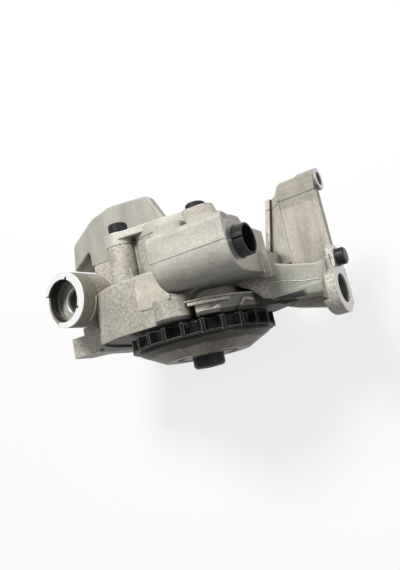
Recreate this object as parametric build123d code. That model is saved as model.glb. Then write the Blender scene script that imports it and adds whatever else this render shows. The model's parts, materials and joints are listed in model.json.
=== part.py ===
# Engine oil pump: a chain-driven gear pump in a cast aluminium housing.
# +Y runs rearward along the drive shaft, +X points out of the mounting flange, +Z is up.
# The origin is on the drive shaft axis, in the middle plane of the sprocket teeth.
import os
from math import acos, cos, pi, radians, sin, tan

from build123d import *

# Chain sprocket and its dished disc
tooth_count = 24
chain_pitch = 9.525
tip_radius = chain_pitch / (2 * sin(pi / tooth_count)) + 0.05
tooth_depth = 4.6
tooth_width = 6.6
gullet_floor = 4.4
gullet_mouth = 8.8
gullet_corner = 1.5
ring_inner_radius = 27.0
dish_rim_radius = 33.0
dish_flat_radius = 21.7
dish_rim_y = -3.3
dish_front_y = -10.8
dish_thickness = 1.6
sprocket_bolt_radius = 8.0
sprocket_bolt_height = 5.8
sprocket_bolt_shank = 5.0

# Pump gears and shaft
gear_teeth = 10
gear_module = 3.0
gear_pressure_angle = 25.0
gear_backlash = 0.16
gear_centres = gear_teeth * gear_module
gear_addendum = 0.85 * gear_module
gear_dedendum = 1.05 * gear_module
gear_side_clearance = 0.15
idler_bearing = 254.0
idler_x = gear_centres * cos(radians(idler_bearing))
idler_z = gear_centres * sin(radians(idler_bearing))
chamber_radius = gear_centres / 2 + gear_addendum + 0.2
chamber_front = 26.0
shaft_radius = 7.0
shaft_clearance = 0.03
bush_radius = 9.0
idler_pin_radius = 6.5

# Main planes of the housing along the shaft
front_y = 5.0
recess_y = 6.2
recess_radius = 50.0
plate_back_y = 12.4
block_back_y = 33.4
split_y = 51.5
cover_back_y = 57.0
boss_back_y = 58.2
base_z = -57.0
block_top_z = 28.0
block_right_x = 9.0
drum_radius = 34.0
drum_back_y = 12.7
seam_step = 0.3

# Centre bolt tube, across the housing
tube_y = 30.5
tube_z = 33.0
tube_radius = 12.8
tube_left = 6.0
tube_right = 45.2
tube_bore_radius = 4.5
sleeve_outer_radius = 7.2
sleeve_inner_radius = 6.2
sleeve_length = 16.0
sleeve_proud = 4.8
sleeve_seat_radius = 7.5

# Relief valve port, upright beside the block
port_x = -60.0
port_y = 33.2
port_face_z = 30.0
port_tilt = 6.0
port_outer_radius = 14.6
port_mouth_radius = 11.3
mouth_offset = -1.6
valve_bore_radius = 8.5
ring_depth = 3.2
plug_depth = 9.5
plug_bowl_depth = 15.0
valve_depth = 50.0
boss_depth = 56.0

# Mounting flange on the arm, facing +X
flange_x = 75.6
rim_x = 74.6
flange_thickness = 3.5
ring_y = 3.0
ring_z = 1.2
ring_outer_radius = 11.2
ring_barrel = 8.0
ring_bore_radius = 6.75
ring_bore_depth = 5.5
pin_y = 17.5
pin_z = -1.4
pin_radius = 4.0
pin_shank_radius = 4.3
pin_proud = 4.0
pin_seat = 3.0
lug_y = 57.3
lug_z = -6.0
lug_outer_radius = 5.4
lug_hole_radius = 3.3
lug_back_x = 65.5
lug_face_x = 75.4

# Cover screws (X, Z and the plane that the head sits on) and hollow dowels
screw_radius = 3.0
screw_head_radius = 5.0
screw_head_height = 6.0
screw_reach = 16.0
boss_radius = 7.6
left_screw = (-25.0, 20.4, boss_back_y)
tube_screw = (18.8, 15.0, 55.0)
lower_right_screw = (2.0, -50.0, cover_back_y)
lower_left_screw = (-33.0, -38.0, cover_back_y)
dowel_radius = 4.0
dowel_places = ((-30.5, 2.5), (18.5, -17.0))


def outline(points, radii):
    """Closed face through the points, with each corner rounded to its radius."""
    return make_face(FilletPolyline(*points, radius=radii, close=True))


def along_y(face, near, far):
    """Extrudes a face drawn in X and Z from Y = near to Y = far."""
    return extrude(Plane.XZ.offset(-far) * face, far - near)


def along_x(face, near, far):
    """Extrudes a face drawn in Y and Z from X = near to X = far."""
    return extrude(Plane.YZ.offset(near) * face, far - near)


def along_z(face, near, far):
    """Extrudes a face drawn in X and Y from Z = near to Z = far."""
    return extrude(Plane.XY.offset(near) * face, far - near)


def disc(across, up, radius):
    return Pos(across, up) * Circle(radius)


def loft_y(low_points, high_points, radii, low_y, high_y):
    """Solid between two outlines drawn in X and Z, at two stations along Y."""
    faces = []
    for points, station in ((low_points, low_y), (high_points, high_y)):
        faces.append(Plane.XZ.offset(-station) * outline(points, radii))
    return loft(faces)


def front_plate():
    """Plate behind the sprocket, with the foot at its lower left and a lobe on the right."""
    points = [
        (block_right_x, block_top_z), (-30, block_top_z), (-50, 19.5), (-55.5, 9.5), (-78, 9.5),
        (-78, -6), (-67.5, -10), (-67.5, -30), (-48, base_z), (2, base_z), (20, -40), (24, -20), (20, 10),
    ]
    radii = [3, 24, 10, 4, 2, 2, 3, 14, 8, 10, 6, 6, 8]
    plate = along_y(outline(points, radii), front_y, plate_back_y)
    lobe = [(20, 6), (20, -38), (26, -37.5), (36, -31), (41.5, -17), (33, 0)]
    plate += along_y(outline(lobe, [0, 0, 4, 5, 3, 6]), front_y, 9.4)
    plate += along_y(Pos(-66.5, 2) * RectangleRounded(23, 15, 1.5), front_y, front_y + 11)
    plate += along_y(Pos(-62.0, 2) * RectangleRounded(14, 15, 1.5), front_y, front_y + 15)
    return plate - along_y(disc(0, 0, recess_radius), front_y - 1, recess_y)


def drum():
    """Round wall behind the sprocket, with a thin lip along its rear edge."""
    wall = along_y(Circle(drum_radius) & sector(-70, 63), recess_y - 1.6, drum_back_y - 0.8)
    lip = along_y(Circle(drum_radius + 0.6) & sector(-70, 76), drum_back_y - 0.8, drum_back_y)
    return wall + lip


def sector(start, end):
    """A wide wedge between two bearings, for cutting arcs out of rings."""
    far = 3 * drum_radius
    middle = radians((start + end) / 2)
    rim = [polar(far, radians(start)), polar(far, middle), polar(far, radians(end))]
    return Polygon((0, 0), *rim, align=None)


def drum_bar(start, end, near, far, proud):
    """A raised bar along the drum between two bearings."""
    hoop = Circle(drum_radius + proud) - Circle(drum_radius - 1)
    return along_y(hoop & sector(start, end), near, far)


def standing_pad(bearing, face, proud):
    """A flat shape raised on the drum; its own X runs clockwise and its Y runs rearward."""
    turn = radians(bearing)
    radial = (cos(turn), 0, sin(turn))
    place = Plane(origin=polar_point(drum_radius - 2.5, turn), x_dir=(sin(turn), 0, -cos(turn)), z_dir=radial)
    return extrude(place * face, 2.5 + proud)


def polar_point(radius, angle):
    return (radius * cos(angle), 0, radius * sin(angle))


def rim_ribs():
    """Cast bar, notched block and slanted ribs on the drum, beside the sprocket."""
    ribs = drum_bar(36, 68, 9.9, 11.3, 1.7)
    notch = outline([(-5.2, 4.7), (-5.2, 6.9), (0.4, 6.7), (3.0, 8.0), (4.4, 7.6), (4.4, 4.7)],
                    [0, 0.6, 1.6, 0.8, 0.5, 0])
    ribs += standing_pad(52, notch, 2.4)
    post = outline([(-5.8, 4.7), (-4.4, 4.7), (0.9, 10.2), (-0.6, 10.2)], [0, 0, 0.5, 0.5])
    bars = outline([(-0.6, 10.2), (-0.6, 9.0), (5.4, 8.2), (5.4, 9.4)], [0, 0, 0.4, 0.4])
    ribs += standing_pad(22, post, 1.5) + standing_pad(22, bars, 1.5)
    low_bar = outline([(-4.6, 5.6), (-4.6, 6.6), (-1.6, 6.4), (-1.6, 5.4)], [0, 0, 0.3, 0.3])
    return ribs + standing_pad(22, low_bar, 1.5)


def front_block():
    """Thick block beside the centre tube, with a rounded left shoulder and a raised pad."""
    points = [(block_right_x, block_top_z), (-30, block_top_z), (-51, 19), (-54, -22), (block_right_x, -22)]
    block = along_y(outline(points, [0, 26, 9, 3, 0]), recess_y, block_back_y)
    pad = outline([(-16.5, 15.5), (block_right_x, 15.5), (block_right_x, 30), (-14.5, 33), (-16.5, 26)],
                  [1.5, 0, 0, 1, 2])
    block = fillet(block.faces().sort_by(Axis.Y)[-1].edges().sort_by(Axis.Z)[-1], 2)
    gusset = outline([(5, 13.2), (11.4, 13.2), (13.6, 16.4), (17, 17.6), (27, 18.3), (27, 26), (5, 26)],
                     [0, 1, 3, 3, 0, 0, 0])
    block += along_z(gusset, 0, block_top_z)
    return block + along_z(pad, block_top_z - 2, block_top_z + 0.5)


def case_flanks(right_low, right_middle, right_high):
    """Outline that squares off the two drums and stands on the flat base."""
    points = [(-42, -14), (-48, -44), (-44, base_z), (right_low, base_z), (right_middle, -34),
              (right_high, -16), (right_high, 0), (-28, 4)]
    return outline(points, [6, 5, 4, 5, 8, 6, 10, 8])


def left_wall():
    return outline([(-54.5, 9.5), (-54.5, -24), (-20, -24), (-20, 9.5)], [3, 3, 0, 0])


def gear_case():
    """Walls round the two gears, closed by a flat base."""
    case = along_y(disc(0, 0, chamber_radius + 8), plate_back_y, split_y)
    case += along_y(disc(idler_x, idler_z, chamber_radius + 7), plate_back_y, split_y)
    case += along_y(case_flanks(18, 23.5, 28), plate_back_y + 3, split_y)
    case += along_y(left_wall(), block_back_y - 6, split_y)
    return case + along_y(Pos(-7, 4) * Rectangle(42, 32), block_back_y - 6, split_y)


def centre_tube():
    """D-shaped tube for the through bolt: round in front, flat on top, with a stepped mould seam."""
    flat_top = tube_z + tube_radius + seam_step
    rear = 43.0
    block = outline([(tube_y, flat_top), (rear, flat_top), (rear, 4), (19, 4), (17.9, tube_z - 2)],
                    [0.3, 3, 0, 2, 0])
    tube = along_x(disc(tube_y, tube_z, tube_radius), tube_left, tube_right)
    tube = chamfer(tube.edges().filter_by(GeomType.CIRCLE), 0.5)
    tube += along_x(block, tube_left + 0.3, tube_right - 0.3)
    tube += along_z(disc(24.6, 19.6, 1.6), tube_z - 16, tube_z - 6)
    low = [(tube_right + 1, 46), (tube_right - 0.3, 44), (37, 0), (tube_right + 1, 0)]
    tube -= along_y(Polygon(*low, align=None), tube_y + 9, rear + 1)
    rear_slope = [(rear + 1, 44), (rear + 1, 3), (38.5, 3), (40, 24)]
    return tube - along_x(Polygon(*rear_slope, align=None), 34, tube_right + 1)


def tube_lug(front, rear, rear_top, corner, lean):
    """Lug that slopes from the flat top of the tube to the joint face; its foot leans to the left."""
    flat_top = tube_z + tube_radius
    left, right = front
    front_points = [(left, flat_top), (right, flat_top), (right - lean, 16), (left - lean, 16)]
    left, right = rear
    rear_points = [(left, rear_top), (right, rear_top), (right - lean, 6), (left - lean, 6)]
    return loft_y(front_points, rear_points, [corner, corner, 0.5, 0.5], 41, split_y)


def front_boss():
    """Round boss in front of the tube, ending just behind the sprocket teeth."""
    boss = along_y(disc(3.4, 30.5, 8.5), 4.5, 16.4)
    boss = fillet(boss.edges().filter_by(GeomType.CIRCLE), 0.9)
    boss -= along_y(disc(3.4, 30.5, 3.2), 4, 5.6)
    return boss + along_z(disc(7.2, 15.8, 1.2), 34, 38.6)


def left_boss():
    """Screw boss on the rear left of the block."""
    boss = along_y(disc(left_screw[0], left_screw[1], boss_radius), block_back_y - 4, split_y)
    web = along_y(Pos(left_screw[0], 8) * Rectangle(2 * boss_radius, 24), block_back_y - 4, split_y)
    return boss + web


def shoulder():
    """Web from the end of the tube out to the arm."""
    points = [(24, 26), (44.8, 16.2), (48.2, 15.4), (47.6, 31), (43.2, 37.2), (36.5, 46), (10, 46)]
    web = along_z(outline(points, [0, 2, 1.5, 6, 4, 2, 0]), -20, 12)
    cuts = []
    for corner_x, station in ((46.8, 28.0), (32.5, 48.0)):
        face = Polygon((corner_x, 13), (corner_x - 12, -21), (60, -21), (60, 13), align=None)
        cuts.append(Plane.XZ.offset(-station) * face)
    return web - loft(cuts)


def arm():
    """Rounded arm from the gear case to the flange, lower in front towards the flange."""
    points = [(26, 30), (26, 18), (34.5, 13), (39, 8.2), (46, 5.6), (56, 3.4), (64, 2.6),
              (74, 1.2), (74, 19), (68, 16.8), (55, 20)]
    body = along_z(outline(points, [0, 0, 3, 4, 8, 12, 6, 0, 0, 6, 0]), -10, 6.5)
    body = fillet(body.edges().filter_by(Axis.Z, reverse=True).group_by(Axis.Z)[-1].sort_by(Axis.Y)[-3:], 0.9)
    rounding = along_x(outline([(-6, -1), (9.5, 8), (-6, 8)], [0, 0, 0]), 30, 80)
    keel = [(30, 16), (40, 7), (47.5, 1.6), (67.5, -3.4), (74, -3.6), (74, 14), (40, 18)]
    web = along_z(outline(keel, [0, 4, 6, 4, 0, 0, 0]), -15, -3)
    return body - rounding + web


def flange_flare():
    """Sloping facet that blends the arm into the barrel behind the outlet ring."""
    lean = Plane(origin=(65, 0, 0), x_dir=(0.316, 0.949, 0), z_dir=(0.949, -0.316, 0))
    start = [(1, -9.9), (19, -9.9), (19, 6.3), (8, 6.3), (2, 3)]
    end = [(-4.5, -6.5), (18, -6.5), (18, 8), (8.5, 11), (-2.5, 10.6)]
    far = Plane.YZ.offset(flange_x - flange_thickness)
    return loft([lean * Polygon(*start, align=None), far * Polygon(*end, align=None)])


def flange():
    """Machined face for the outlet ring and the locating pin."""
    near = flange_x - flange_thickness
    barrel = along_x(disc(ring_y, ring_z, ring_outer_radius), flange_x - ring_barrel, flange_x)
    barrel = fillet(barrel.edges().filter_by(GeomType.CIRCLE).group_by(Axis.X)[0], 3)
    barrel -= along_z(Pos(near - 5, 9) * Rectangle(8, 21), 0, 20)
    strip = [(-2, 9.5), (-4, -8), (14, -8), (22, -6.5), (24, 2.5), (16, 5)]
    plate = along_x(outline(strip, [5, 4, 3, 4, 3, 8]), near, flange_x)
    return barrel + plate


def bracket():
    """Upright bracket above the arm: a thin-walled web with a turned rim, open at the back."""
    face = along_z(outline([(54.5, 12), (72.8, 12), (72.8, 46), (rim_x, 60.2), (57, 60.2), (54.5, 56)],
                           [0, 0, 8, 1, 3, 3]), -3.2, 0)
    rim = along_x(outline([(15, 1.6), (50.5, 1.6), (50.5, -3.2), (15, -3.2)], [1, 1, 0.5, 0]),
                  rim_x - 2.6, rim_x)
    floor = along_z(Pos(64, 17) * Rectangle(20, 9), -10, -1)
    return face + rim + floor


def bracket_wedge():
    """Sloping side of the bracket with a raised rib along its left edge."""
    wall = 3.0
    sections = []
    rib_sections = []
    for plane_y, left in ((22, 40.0), (56.5, 48.2)):
        plane = Plane(origin=(0, plane_y, 0), x_dir=(1, 0, 0), z_dir=(0, 1, 0))
        slope = [(56, 0), (left, 9), (left, 9 + wall), (56, wall + 0.2)]
        rib = [(left - 1.6, 6), (left + 0.8, 6), (left + 0.8, 9 + wall), (left - 1.6, 9 + wall)]
        sections.append(plane * Polygon(*slope, align=None))
        rib_sections.append(plane * Polygon(*rib, align=None))
    return loft(sections) + loft(rib_sections)


def top_lug():
    """Bolt lug under the top corner of the bracket."""
    lug = along_x(disc(lug_y, lug_z, lug_outer_radius), lug_back_x, lug_face_x)
    return lug + along_x(Pos(55.5, -2.6) * Rectangle(9, 4), lug_back_x, rim_x - 1)


def upright(face, low, high):
    """Extrudes a face along the tilted axis of the relief valve, measured down from the port face."""
    axis_place = Pos(port_x, port_y, port_face_z) * Rot(0, -port_tilt, 0)
    return axis_place * extrude(Plane.XY.offset(-low) * face, low - high)


def port_boss():
    """Slightly tilted cylinder that holds the relief valve."""
    cylinder = upright(Circle(port_outer_radius), boss_depth, 0)
    web = along_z(outline([(-60, 20), (-30, 12), (-30, 51), (-60, 51)], [4, 0, 0, 2]), -24, -2)
    return cylinder + web


def tube_lugs():
    """Both lugs, and the round screw boss between them."""
    left = tube_lug((tube_left, 24.5), (1.5, 16.0), 31.0, 4.0, 0)
    right = tube_lug((28.5, 45.0), (22.5, 38.5), 38.0, 5.0, 12)
    across, up, seat = tube_screw
    return left + right + along_y(disc(across, up, 6.4), split_y - screw_reach - 2, split_y)


def housing_hollows():
    """Everything bored, drilled or cored out of the pump body."""
    hollow = along_y(disc(0, 0, chamber_radius), chamber_front, split_y + 1)
    hollow += along_y(disc(idler_x, idler_z, chamber_radius), chamber_front, split_y + 1)
    hollow += along_y(disc(0, 0, bush_radius), 0, chamber_front + 1)
    hollow += along_y(disc(idler_x, idler_z, idler_pin_radius), chamber_front - 12, chamber_front + 1)
    hollow += along_x(disc(tube_y, tube_z, tube_bore_radius), tube_left - 1, tube_right + 1)
    hollow += along_x(disc(tube_y, tube_z, sleeve_seat_radius),
                      tube_right + sleeve_proud - sleeve_length, tube_right + 1)
    hollow += upright(disc(mouth_offset, 0, port_mouth_radius), plug_depth + 1.5, -1)
    hollow += upright(disc(mouth_offset, 0, valve_bore_radius), valve_depth, plug_depth)
    hollow += upright(disc(mouth_offset, 0, 5), boss_depth + 1, valve_depth - 1)
    hollow += along_x(disc(ring_y, ring_z, ring_bore_radius), flange_x - ring_bore_depth, flange_x + 1)
    hollow += along_x(disc(pin_y, pin_z, pin_shank_radius), flange_x - pin_seat, flange_x + 1)
    hollow += along_x(disc(lug_y, lug_z, lug_hole_radius), lug_back_x - 1, flange_x + 3)
    notch = Circle(port_outer_radius + 1) & sector(160, 238)
    hollow += upright(notch, 2.2, -1)
    for bearing in (65, 157, 240, 330):
        stake = Rot(0, 0, bearing) * Pos(port_mouth_radius + 0.4, 0) * Rectangle(1.8, 1.3)
        hollow += upright(Pos(mouth_offset, 0) * stake, 1.1, -1)
    for across, up, seat in screws():
        hollow += along_y(disc(across, up, screw_radius), split_y - screw_reach, split_y + 1)
    for across, up in dowel_places:
        hollow += along_y(disc(across, up, dowel_radius), split_y - 6, split_y + 1)
    return hollow


def screws():
    return (left_screw, tube_screw, lower_right_screw, lower_left_screw)


def pump_body():
    body = front_plate() + drum() + front_block() + gear_case() + left_boss()
    body += centre_tube() + tube_lugs() + front_boss()
    body += rim_ribs() + shoulder() + arm() + flange_flare() + flange() + bracket() + bracket_wedge() + top_lug()
    body += port_boss()
    return body - housing_hollows()


# ---------------------------------------------------------------- rear cover


def cover_plate():
    """Plate that closes the gear case, following its outline."""
    plate = along_y(disc(0, 0, chamber_radius + 8), split_y, cover_back_y)
    plate += along_y(disc(idler_x, idler_z, chamber_radius + 7), split_y, cover_back_y)
    plate += along_y(case_flanks(16, 20.5, 26), split_y, cover_back_y)
    plate += along_y(left_wall(), split_y, cover_back_y)
    plate += along_y(Pos(-7, 4) * Rectangle(42, 24), split_y, cover_back_y)
    plate += along_y(Pos(-7, 17) * Rectangle(42, 6), split_y, split_y + 1.2)
    plate += along_y(disc(left_screw[0], left_screw[1], boss_radius), split_y, boss_back_y)
    band = [(-25, 28), (9, 21.4), (23, 19.5), (23, 6), (-25, 6)]
    plate += along_y(outline(band, [0, 4, 4, 0, 0]), split_y + 2.8, boss_back_y - 0.4)
    return plate


def suction_chamber():
    """Smooth chamber on the cover that the intake leads into."""
    top = [(-54.5, 40), (-54.5, 60.5), (-67, 51.8), (-64.9, 66.8), (-49.5, 77.3), (-36, 80.3),
           (-10.6, 77.6), (-3.5, 63), (-3.5, 40)]
    low = [(-54.5, 40), (-54.5, 60.5), (-66, 51.8), (-62, 64), (-52, 74.5), (-43, 78),
           (-25, 75.5), (-17, 60), (-17, 40)]
    radii = [0, 1, 0.6, 4, 8, 10, 5, 3, 0]
    upper = along_z(outline(top, radii), 5, 9.5)
    upper = chamfer(upper.faces().sort_by(Axis.Z)[-1].edges(), 0.6)
    lower = loft([Plane.XY.offset(5) * outline(top, radii), Plane.XY.offset(-14) * outline(low, radii)])
    return upper + lower - along_y(Rectangle(200, 200), 0, split_y)


def rear_cover():
    cover = cover_plate() + suction_chamber()
    cover -= along_y(disc(0, 0, bush_radius), split_y - 1, cover_back_y - 1.5)
    cover -= along_y(disc(tube_screw[0], tube_screw[1], 6.5), tube_screw[2], cover_back_y + 1)
    for across, up, seat in screws():
        cover -= along_y(disc(across, up, screw_radius), split_y - 1, seat + 1)
    for across, up in dowel_places:
        cover -= along_y(disc(across, up, dowel_radius), split_y - 1, split_y + 5)
    return cover


# ---------------------------------------------------------------- gears and shaft


def involute(base_radius, radius):
    """Polar angle that an involute has turned through at a radius."""
    if radius <= base_radius:
        return 0.0
    pressure = acos(base_radius / radius)
    return tan(pressure) - pressure


def gear_section():
    """Face of one pump gear with a tooth centred on +X."""
    pitch_radius = gear_teeth * gear_module / 2
    base_radius = pitch_radius * cos(radians(gear_pressure_angle))
    outer = pitch_radius + gear_addendum
    root = pitch_radius - gear_dedendum
    half_tooth = (pi * gear_module / 2 - gear_backlash) / (2 * pitch_radius)
    start = half_tooth + involute(base_radius, pitch_radius)
    steps = [base_radius, (base_radius + outer) / 2, outer]
    section = Circle(root)
    for tooth in range(gear_teeth):
        turn = 2 * pi * tooth / gear_teeth
        right = [polar(r, turn - start + involute(base_radius, r)) for r in steps]
        left = [polar(r, turn + start - involute(base_radius, r)) for r in steps]
        edges = [
            Line(polar(root - 0.5, turn - start), right[0]),
            ThreePointArc(*right),
            Line(right[-1], left[-1]),
            ThreePointArc(*reversed(left)),
            Line(left[0], polar(root - 0.5, turn + start)),
            Line(polar(root - 0.5, turn + start), polar(root - 0.5, turn - start)),
        ]
        section += make_face(Wire(edges))
    return section


def polar(radius, angle):
    return (radius * cos(angle), radius * sin(angle))


def drive_gear():
    turned = Rot(0, 0, idler_bearing) * gear_section()
    section = turned - Circle(shaft_radius)
    return along_y(section, chamber_front + gear_side_clearance, split_y - gear_side_clearance)


def driven_gear():
    half_pitch = 180.0 / gear_teeth
    turned = Rot(0, 0, idler_bearing + 180 + half_pitch) * gear_section()
    section = Pos(idler_x, idler_z) * (turned - Circle(idler_pin_radius + shaft_clearance))
    return along_y(section, chamber_front + gear_side_clearance, split_y - gear_side_clearance)


def drive_shaft():
    front = dish_front_y + dish_thickness
    shaft = along_y(disc(0, 0, shaft_radius), front, cover_back_y - 2.0)
    shaft -= along_y(disc(0, 0, sprocket_bolt_shank), front - 1, front + 22)
    ends = shaft.edges().filter_by(GeomType.CIRCLE).group_by(Axis.Y)[-1]
    return chamfer(ends, 0.8)


def idler_pin():
    pin = along_y(disc(idler_x, idler_z, idler_pin_radius), chamber_front - 12, split_y)
    return chamfer(pin.edges().filter_by(GeomType.CIRCLE).group_by(Axis.Y)[0], 0.6)


def bush(near, far):
    return along_y(Circle(bush_radius) - Circle(shaft_radius + shaft_clearance), near, far)


# ---------------------------------------------------------------- sprocket


def sprocket_section():
    """Inverted-tooth chain wheel: narrow straight-sided teeth between wide gullets."""
    floor_radius = tip_radius - tooth_depth
    over = tip_radius + 1
    floor_half = gullet_floor / 2
    mouth_half = gullet_mouth / 2
    corners = [(floor_radius, -floor_half), (over, -mouth_half), (over, mouth_half), (floor_radius, floor_half)]
    gullet = outline(corners, [gullet_corner, 0, 0, gullet_corner])
    section = Circle(tip_radius) - Circle(ring_inner_radius)
    for tooth in range(tooth_count):
        section -= Rot(0, 0, 360 / tooth_count * (tooth + 0.5)) * gullet
    return section


def chain_sprocket():
    """Toothed ring closed in front by a thin rim and carried on a web."""
    half = tooth_width / 2
    ring = along_y(sprocket_section(), -half, half)
    ring += along_y(Circle(tip_radius - 0.5) - Circle(ring_inner_radius), -half, 0.9 - half)
    web = along_y(Circle(ring_inner_radius + 1) - Circle(shaft_radius + 4), half - 2.5, half)
    return ring + web


def sprocket_dish():
    """Pressed steel dish: a flat front, a cone and a rim against the toothed ring."""
    t = dish_thickness
    points = [(shaft_radius - 2, dish_front_y), (dish_flat_radius, dish_front_y),
              (dish_rim_radius, dish_rim_y - t), (dish_rim_radius, dish_rim_y),
              (ring_inner_radius + 0.5, dish_rim_y), (dish_flat_radius - 1.0, dish_front_y + t),
              (shaft_radius - 2, dish_front_y + t)]
    profile = make_face(Polyline(*points, close=True))
    dish = revolve(profile, Axis.Y)
    slot = SlotArc(CenterArc((0, 0), 14.5, -16, 32), 3.4)
    for turn in range(0, 360, 60):
        dish -= along_y(Rot(0, 0, turn + 8) * slot, dish_front_y - 1, dish_front_y + t + 0.5)
    return dish


def sprocket_bolt():
    head_top = dish_front_y - sprocket_bolt_height
    head = along_y(disc(0, 0, sprocket_bolt_radius), head_top, dish_front_y)
    head = fillet(head.edges().filter_by(GeomType.CIRCLE).group_by(Axis.Y)[0], 2.0)
    socket = along_y(RegularPolygon(4.0, 6), head_top - 1, head_top + 3.2)
    shank = along_y(disc(0, 0, sprocket_bolt_shank), dish_front_y, dish_front_y + dish_thickness + 20)
    return head + shank - socket


# ---------------------------------------------------------------- fasteners and small parts


def cover_screw(across, up, seat):
    head = along_y(disc(across, up, screw_head_radius), seat, seat + screw_head_height)
    head = chamfer(head.edges().filter_by(GeomType.CIRCLE).group_by(Axis.Y)[-1], 0.6)
    socket = along_y(Pos(across, up) * RegularPolygon(2.5, 6), seat + 2.8, seat + screw_head_height + 1)
    shank = along_y(disc(across, up, screw_radius), split_y - screw_reach + 1, seat)
    return head + shank - socket


def dowel(across, up):
    ring = Circle(dowel_radius) - Circle(screw_radius)
    return along_y(Pos(across, up) * ring, split_y - 5.5, split_y + 4.5)


def locating_sleeve():
    """Split spring sleeve that stands out of the tube's end, wider where it is seated."""
    far = tube_right + sleeve_proud
    slit = Pos(tube_y, tube_z + sleeve_outer_radius) * Rectangle(0.8, 4)
    sleeve = along_x(disc(tube_y, tube_z, sleeve_seat_radius), far - sleeve_length, tube_right)
    sleeve += along_x(disc(tube_y, tube_z, sleeve_outer_radius), tube_right, far)
    sleeve -= along_x(disc(tube_y, tube_z, sleeve_inner_radius), far - sleeve_length - 1, far + 1)
    return sleeve - along_x(slit, far - sleeve_length - 1, far + 1)


def locating_pin():
    """Dowel with a wider press-fit shank."""
    pin = along_x(disc(pin_y, pin_z, pin_radius), flange_x - 1, flange_x + pin_proud)
    pin = chamfer(pin.edges().filter_by(GeomType.CIRCLE).group_by(Axis.X)[-1], 0.7)
    return pin + along_x(disc(pin_y, pin_z, pin_shank_radius), flange_x - pin_seat, flange_x)


def relief_piston():
    r = valve_bore_radius - 0.04
    length = 20.0
    ring = Circle(r) - Circle(r - 0.8)
    piston = upright(disc(mouth_offset, 0, r), valve_depth, valve_depth - length)
    piston -= upright(disc(mouth_offset, 0, r - 2.2), valve_depth - 4, valve_depth - length - 1)
    return piston - upright(Pos(mouth_offset, 0) * ring, valve_depth - 7, valve_depth - 8.2)


def relief_spring():
    """Helical spring between the piston and the plug; six flats stand for the round wire."""
    wire = 0.9
    turns = 7
    length = valve_depth - 4 - plug_bowl_depth - 2 * wire - 1.9
    path = Helix(pitch=length / turns, height=length, radius=4.4)
    section = Plane(origin=path @ 0, z_dir=path % 0) * RegularPolygon(wire, 6)
    place = Pos(port_x, port_y, port_face_z) * Rot(0, -port_tilt, 0)
    return place * Pos(mouth_offset, 0, -valve_depth + 4.1 + wire) * sweep(section, path)


def relief_plug():
    """Cup that closes the valve bore: a flat rim with a round bowl pressed into it."""
    rim = port_mouth_radius
    bowl = valve_bore_radius - 0.2
    wall = 1.5
    profile = FilletPolyline((0, -plug_bowl_depth), (3.6, -plug_bowl_depth), (bowl - wall, -plug_depth),
                             (rim, -plug_depth), (rim, -plug_depth - wall), (bowl, -plug_depth - wall),
                             (bowl, -plug_bowl_depth + 1), (4.6, -plug_bowl_depth - wall),
                             (0, -plug_bowl_depth - wall), radius=[0, 5, 1, 0, 0, 0, 1, 1, 0], close=True)
    cup = revolve(Plane.XZ * make_face(profile), Axis.Z)
    return Pos(port_x, port_y, port_face_z) * Rot(0, -port_tilt, 0) * Pos(mouth_offset, 0, 0) * cup


def snap_ring():
    """Open wire ring in front of the plug."""
    ring = Circle(port_mouth_radius) - Circle(port_mouth_radius - 1.1)
    gap = Pos(0, -port_mouth_radius) * Rectangle(4, 6)
    return upright(Pos(mouth_offset, 0) * (ring - gap), ring_depth + 1.1, ring_depth)


def all_parts():
    return {
        "pump_body": pump_body(),
        "rear_cover": rear_cover(),
        "front_bush": bush(recess_y + 0.5, chamber_front),
        "rear_bush": bush(split_y, cover_back_y - 1.5),
        "drive_shaft": drive_shaft(),
        "drive_gear": drive_gear(),
        "driven_gear": driven_gear(),
        "idler_pin": idler_pin(),
        "chain_sprocket": chain_sprocket(),
        "sprocket_dish": sprocket_dish(),
        "sprocket_bolt": sprocket_bolt(),
        "cover_screw_left": cover_screw(*left_screw),
        "cover_screw_tube": cover_screw(*tube_screw),
        "cover_screw_lower_right": cover_screw(*lower_right_screw),
        "cover_screw_lower_left": cover_screw(*lower_left_screw),
        "dowel_left": dowel(*dowel_places[0]),
        "dowel_right": dowel(*dowel_places[1]),
        "locating_sleeve": locating_sleeve(),
        "locating_pin": locating_pin(),
        "relief_piston": relief_piston(),
        "relief_spring": relief_spring(),
        "relief_plug": relief_plug(),
        "snap_ring": snap_ring(),
    }


os.makedirs("parts", exist_ok=True)
for name, solid in all_parts().items():
    export_step(solid, f"parts/{name}.step")
    print(name, round(solid.volume))
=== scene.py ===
import json
import math

import bmesh
import bpy
from mathutils import Matrix, Vector


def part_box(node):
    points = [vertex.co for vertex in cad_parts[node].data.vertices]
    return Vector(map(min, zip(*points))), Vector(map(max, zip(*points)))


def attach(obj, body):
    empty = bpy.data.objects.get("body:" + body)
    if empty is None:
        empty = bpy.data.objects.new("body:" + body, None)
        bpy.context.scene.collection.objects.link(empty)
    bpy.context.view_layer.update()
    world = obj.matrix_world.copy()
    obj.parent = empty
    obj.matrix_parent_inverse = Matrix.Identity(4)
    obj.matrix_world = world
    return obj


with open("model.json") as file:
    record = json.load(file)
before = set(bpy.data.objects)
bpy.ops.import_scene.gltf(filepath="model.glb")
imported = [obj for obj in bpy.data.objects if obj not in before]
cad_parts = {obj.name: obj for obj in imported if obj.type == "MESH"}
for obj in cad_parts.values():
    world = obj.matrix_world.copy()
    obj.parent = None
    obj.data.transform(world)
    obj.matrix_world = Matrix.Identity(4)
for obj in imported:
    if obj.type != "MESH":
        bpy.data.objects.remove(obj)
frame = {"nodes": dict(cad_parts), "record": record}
mm = 0.001
scene = bpy.context.scene


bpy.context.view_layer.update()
print("frame loaded")


# Shader helpers

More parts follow.
